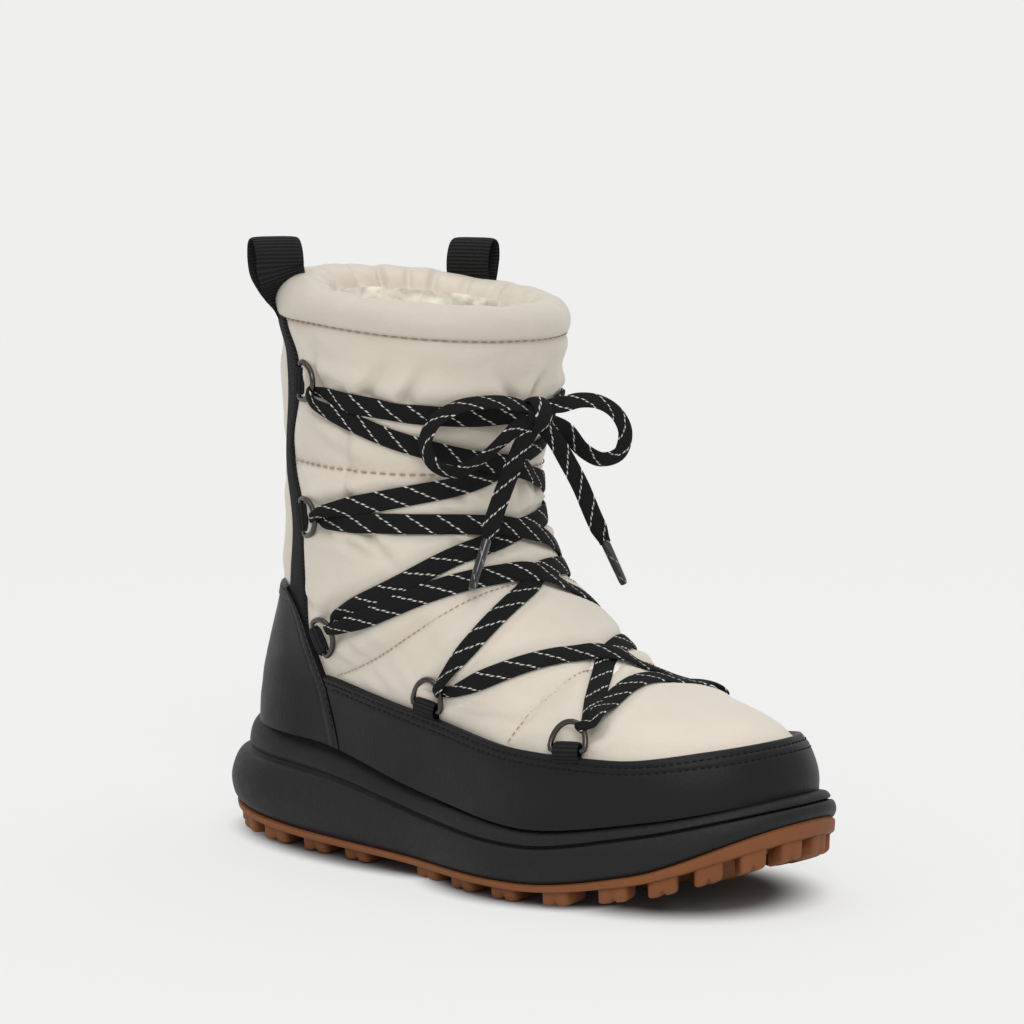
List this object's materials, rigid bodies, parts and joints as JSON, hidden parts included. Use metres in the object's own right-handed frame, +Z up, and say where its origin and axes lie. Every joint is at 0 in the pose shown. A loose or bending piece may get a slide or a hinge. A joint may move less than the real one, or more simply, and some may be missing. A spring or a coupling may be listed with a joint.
{
  "type": "winter boot",
  "caption": "Quilted ankle-high winter boot for the right foot with a padded collar, leather mudguard and heel counter, ring lacing tied in a bow, pull loops and a lugged sole.",
  "frame": {"origin": "centre of the boot's box on the floor that the sole stands on", "axes": "+X to the toe, +Y to the boot's own left side, +Z up"},
  "size_m": [0.29, 0.1294, 0.2478],
  "materials": {
    "gum": "matte gum-brown moulded rubber",
    "black_rubber": "satin-matte black moulded foam",
    "nylon": "cream quilted nylon with a soft sheen",
    "leather": "smooth matte black",
    "webbing": "black ribbed webbing",
    "fleece": "cream pile lining",
    "gunmetal": "dark plated wire",
    "cord": "black flat braid with pale flecks",
    "tip": "glossy lace tip"
  },
  "bodies": {
    "root": {"outsole": "gum", "midsole": "black_rubber", "insole": "fleece", "upper": "nylon", "mudguard": "leather", "heel_counter": "leather", "lace_strip_right": "webbing", "lace_strip_left": "webbing", "pull_loop_right": "webbing", "pull_loop_left": "webbing", "d_ring_right_1": "gunmetal", "d_ring_right_2": "gunmetal", "d_ring_right_3": "gunmetal", "d_ring_right_4": "gunmetal", "d_ring_right_5": "gunmetal", "d_ring_left_1": "gunmetal", "d_ring_left_2": "gunmetal", "d_ring_left_3": "gunmetal", "d_ring_left_4": "gunmetal", "d_ring_left_5": "gunmetal", "ring_tab_right_1": "webbing", "ring_tab_right_2": "webbing", "ring_tab_right_3": "webbing", "ring_tab_right_4": "webbing", "ring_tab_right_5": "webbing", "ring_tab_left_1": "webbing", "ring_tab_left_2": "webbing", "ring_tab_left_3": "webbing", "ring_tab_left_4": "webbing", "ring_tab_left_5": "webbing", "lace_bar": "cord", "lace_cross_1": "cord", "lace_cross_2": "cord", "lace_cross_3": "cord", "lace_cross_4": "cord", "lace_top_right": "cord", "lace_top_left": "cord", "lace_knot": "cord", "lace_loop_right": "cord", "lace_loop_left": "cord", "lace_end_right": "cord", "lace_end_left": "cord", "lace_tip_right": "tip", "lace_tip_left": "tip"}
  },
  "joints": []
}
